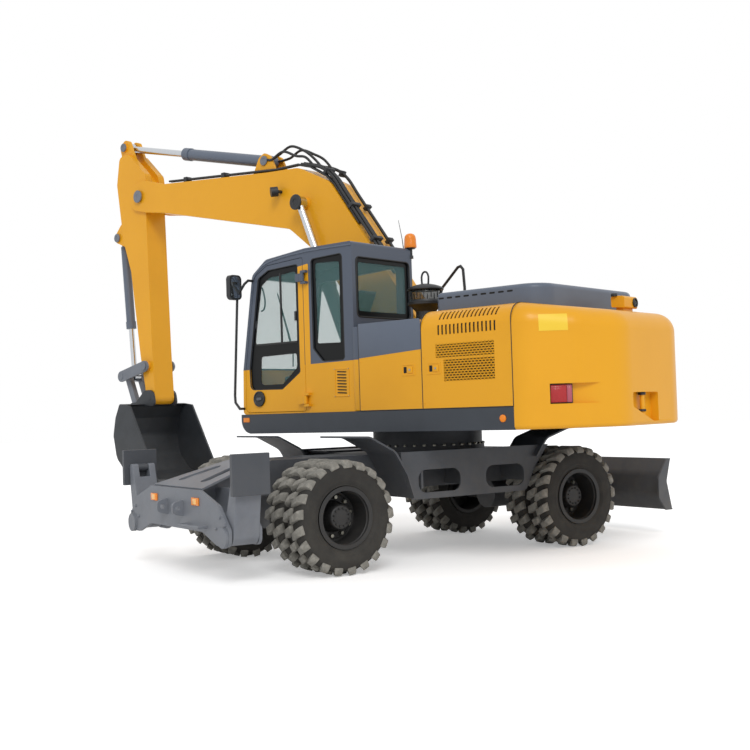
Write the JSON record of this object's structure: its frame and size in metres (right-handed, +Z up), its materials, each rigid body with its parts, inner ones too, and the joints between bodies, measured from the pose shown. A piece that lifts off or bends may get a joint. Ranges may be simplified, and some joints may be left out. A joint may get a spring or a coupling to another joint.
{
  "type": "wheeled excavator",
  "caption": "Wheeled excavator with a slewing upper structure, cab, boom, arm and bucket, twin tyres, outriggers and a dozer blade.",
  "frame": {"origin": "on the ground, under the centre of the slewing ring", "axes": "+X the way the boom points, +Y to the cab's side, +Z up; the undercarriage stands turned by 74.43 degrees about +Z"},
  "size_m": [8.3187, 5.9117, 5.4111],
  "materials": {
    "body_yellow": "glossy enamel",
    "slate_paint": "satin enamel",
    "frame_grey": "satin enamel",
    "rim_grey": "satin enamel",
    "tyre": "worn rubber",
    "cast_iron": "rough cast",
    "rod_chrome": "polished",
    "cab_glass": "tinted",
    "black_plastic": "matte",
    "amber_lens": "clear moulded",
    "red_lens": "clear moulded",
    "seat_fabric": "woven",
    "bucket_steel": "worn enamel"
  },
  "bodies": {
    "undercarriage": {"chassis_frame": "frame_grey", "side_boxes": "frame_grey", "drive_axle": "frame_grey", "steer_axle": "frame_grey", "outrigger_frame": "frame_grey", "marker_lamps": "amber_lens"},
    "upper": {"slew_deck": "frame_grey", "cab_shell": "slate_paint", "cab_glass": "cab_glass", "seat": "seat_fabric", "cab_consoles": "black_plastic", "side_housings": "body_yellow", "engine": "cast_iron", "hood": "slate_paint", "counterweight": "body_yellow", "tail_lights": "red_lens", "pre_cleaner": "black_plastic", "beacon": "amber_lens", "rails_and_mirrors": "black_plastic", "engine_grilles": "black_plastic", "side_lamps": "amber_lens", "work_light": "black_plastic"},
    "knuckle_left": {"knuckle_left": "frame_grey"},
    "knuckle_right": {"knuckle_right": "frame_grey"},
    "wheel_front_left": {"rims_front_left": "rim_grey", "tyres_front_left": "tyre"},
    "wheel_front_right": {"rims_front_right": "rim_grey", "tyres_front_right": "tyre"},
    "wheel_rear_left": {"rims_rear_left": "rim_grey", "tyres_rear_left": "tyre"},
    "wheel_rear_right": {"rims_rear_right": "rim_grey", "tyres_rear_right": "tyre"},
    "outrigger_left": {"outrigger_left": "frame_grey"},
    "outrigger_right": {"outrigger_right": "frame_grey"},
    "outrigger_pad_left": {"outrigger_pad_left": "frame_grey"},
    "outrigger_pad_right": {"outrigger_pad_right": "frame_grey"},
    "dozer_blade": {"dozer_blade": "frame_grey"},
    "blade_cylinder_barrel": {"blade_cylinder_barrel": "frame_grey"},
    "blade_cylinder_rod": {"blade_cylinder_rod": "rod_chrome"},
    "cab_door": {"cab_door": "slate_paint", "door_glass": "cab_glass"},
    "boom": {"boom": "body_yellow", "boom_pipes": "black_plastic"},
    "boom_cylinder_barrel": {"boom_cylinder_barrel": "slate_paint"},
    "boom_cylinder_rod": {"boom_cylinder_rod": "rod_chrome"},
    "arm": {"arm": "body_yellow"},
    "arm_cylinder_barrel": {"arm_cylinder_barrel": "slate_paint"},
    "arm_cylinder_rod": {"arm_cylinder_rod": "rod_chrome"},
    "bucket": {"bucket": "bucket_steel"},
    "bucket_rocker": {"rocker": "frame_grey"},
    "bucket_link": {"bucket_link": "frame_grey"},
    "bucket_cylinder_barrel": {"bucket_cylinder_barrel": "slate_paint"},
    "bucket_cylinder_rod": {"bucket_cylinder_rod": "rod_chrome"}
  },
  "joints": [
    {"name": "slew", "type": "hinge", "parent": "undercarriage", "child": "upper", "pos_m": [0, 0, 1.27], "axis": [0, 0, 1], "continuous": true},
    {"name": "steer_left", "type": "hinge", "parent": "undercarriage", "child": "knuckle_left", "pos_m": [-0.08678, 1.92389, 0.525], "axis": [0, 0, 1], "range_deg": [-28, 28]},
    {"name": "roll_front_left", "type": "hinge", "parent": "knuckle_left", "child": "wheel_front_left", "pos_m": [-0.40949, 2.01381, 0.525], "axis": [-0.9633, 0.2684, 0], "continuous": true},
    {"name": "roll_rear_left", "type": "hinge", "parent": "undercarriage", "child": "wheel_rear_left", "pos_m": [-1.17984, -0.75087, 0.525], "axis": [-0.9633, 0.2684, 0], "continuous": true},
    {"name": "outrigger_left_swing", "type": "hinge", "parent": "undercarriage", "child": "outrigger_left", "pos_m": [-0.2599, 2.97908, 0.43], "axis": [-0.2684, -0.9633, 0], "range_deg": [0, 110]},
    {"name": "outrigger_pad_left_tilt", "type": "hinge", "parent": "outrigger_left", "child": "outrigger_pad_left", "pos_m": [-0.39477, 3.01666, 0.975], "axis": [-0.2684, -0.9633, 0], "range_deg": [-20.5, 0.5]},
    {"name": "steer_right", "type": "hinge", "parent": "undercarriage", "child": "knuckle_right", "pos_m": [1.06918, 1.6018, 0.525], "axis": [0, 0, 1], "range_deg": [-28, 28]},
    {"name": "roll_front_right", "type": "hinge", "parent": "knuckle_right", "child": "wheel_front_right", "pos_m": [1.39189, 1.51188, 0.525], "axis": [-0.9633, 0.2684, 0], "continuous": true},
    {"name": "roll_rear_right", "type": "hinge", "parent": "undercarriage", "child": "wheel_rear_right", "pos_m": [0.62154, -1.2528, 0.525], "axis": [-0.9633, 0.2684, 0], "continuous": true},
    {"name": "outrigger_right_swing", "type": "hinge", "parent": "undercarriage", "child": "outrigger_right", "pos_m": [1.76303, 2.41541, 0.43], "axis": [0.2684, 0.9633, 0], "range_deg": [0, 110]},
    {"name": "outrigger_pad_right_tilt", "type": "hinge", "parent": "outrigger_right", "child": "outrigger_pad_right", "pos_m": [1.89789, 2.37784, 0.975], "axis": [0.2684, 0.9633, 0], "range_deg": [-20.5, 0.5]},
    {"name": "blade_lift", "type": "hinge", "parent": "undercarriage", "child": "dozer_blade", "pos_m": [-0.40262, -1.44495, 0.56], "axis": [0.9633, -0.2684, 0], "range_deg": [-4, 17]},
    {"name": "blade_cylinder_barrel_turn", "type": "hinge", "parent": "undercarriage", "child": "blade_cylinder_barrel", "pos_m": [-0.45899, -1.64725, 0.88], "axis": [0.9633, -0.2684, 0], "range_deg": [-4.57, 17.81]},
    {"name": "blade_cylinder_rod_slide", "type": "slide", "parent": "blade_cylinder_barrel", "child": "blade_cylinder_rod", "axis": [-0.2442, -0.8764, -0.415], "range_m": [-0.0282, 0.1135]},
    {"name": "cab_door_open", "type": "hinge", "parent": "upper", "child": "cab_door", "pos_m": [0.62, 1.24, 2.26], "axis": [0, 0, 1], "range_deg": [0, 95]},
    {"name": "boom_lift", "type": "hinge", "parent": "upper", "child": "boom", "pos_m": [-0.05, -0.18, 1.85], "axis": [0, 1, 0], "range_deg": [-31, 70]},
    {"name": "boom_cylinder_barrel_turn", "type": "hinge", "parent": "upper", "child": "boom_cylinder_barrel", "pos_m": [0.62, -0.18, 1.35], "axis": [0, -1, 0], "range_deg": [-72.54, 32.4]},
    {"name": "boom_cylinder_rod_slide", "type": "slide", "parent": "boom_cylinder_barrel", "child": "boom_cylinder_rod", "axis": [0.3888, 0, 0.9213], "range_m": [-0.8848, 0.393]},
    {"name": "arm_swing", "type": "hinge", "parent": "boom", "child": "arm", "pos_m": [4.93, -0.18, 4.54], "axis": [0, 1, 0], "range_deg": [-84, 25]},
    {"name": "arm_cylinder_barrel_turn", "type": "hinge", "parent": "boom", "child": "arm_cylinder_barrel", "pos_m": [2.5, -0.18, 4.64], "axis": [0, -1, 0], "range_deg": [-2.5, 7.22]},
    {"name": "arm_cylinder_rod_slide", "type": "slide", "parent": "arm_cylinder_barrel", "child": "arm_cylinder_rod", "axis": [0.9735, 0, 0.2288], "range_m": [-1.1162, 0.3336]},
    {"name": "bucket_curl", "type": "hinge", "parent": "arm", "child": "bucket", "pos_m": [4.83, -0.18, 1.76], "axis": [0, 1, 0], "range_deg": [-60, 110]},
    {"name": "rocker_turn", "type": "hinge", "parent": "arm", "child": "bucket_rocker", "pos_m": [4.87, -0.18, 2.19], "axis": [0, 1, 0], "range_deg": [-36.5, 66.5]},
    {"name": "link_turn", "type": "hinge", "parent": "bucket_rocker", "child": "bucket_link", "pos_m": [5.39, -0.18, 2.07], "axis": [0, 1, 0], "range_deg": [-42.3, 23.3]},
    {"name": "bucket_cylinder_barrel_turn", "type": "hinge", "parent": "arm", "child": "bucket_cylinder_barrel", "pos_m": [5.55, -0.18, 4.05], "axis": [0, -1, 0], "range_deg": [-6.22, 3.62]},
    {"name": "bucket_cylinder_rod_slide", "type": "slide", "parent": "bucket_cylinder_barrel", "child": "bucket_cylinder_rod", "axis": [-0.0805, 0, -0.9968], "range_m": [-0.2864, 0.5235]}
  ],
  "couplings": [
    {"joint": "outrigger_pad_left_tilt", "follows": "outrigger_left_swing", "ratio": -0.18},
    {"joint": "outrigger_pad_right_tilt", "follows": "outrigger_right_swing", "ratio": -0.18},
    {"joint": "steer_right", "follows": "steer_left", "ratio": 1},
    {"joint": "blade_cylinder_barrel_turn", "follows": "blade_lift", "ratio": 1.0183},
    {"joint": "blade_cylinder_rod_slide", "follows": "blade_lift", "m_per_rad": 0.37581},
    {"joint": "boom_cylinder_barrel_turn", "follows": "boom_lift", "ratio": -1.0292},
    {"joint": "boom_cylinder_rod_slide", "follows": "boom_lift", "m_per_rad": -0.72259},
    {"joint": "arm_cylinder_barrel_turn", "follows": "arm_swing", "ratio": -0.08},
    {"joint": "arm_cylinder_rod_slide", "follows": "arm_swing", "m_per_rad": 0.76},
    {"joint": "rocker_turn", "follows": "bucket_curl", "ratio": 0.6},
    {"joint": "link_turn", "follows": "bucket_curl", "ratio": -0.38},
    {"joint": "bucket_cylinder_barrel_turn", "follows": "bucket_curl", "ratio": -0.052},
    {"joint": "bucket_cylinder_rod_slide", "follows": "bucket_curl", "m_per_rad": 0.27161}
  ]
}
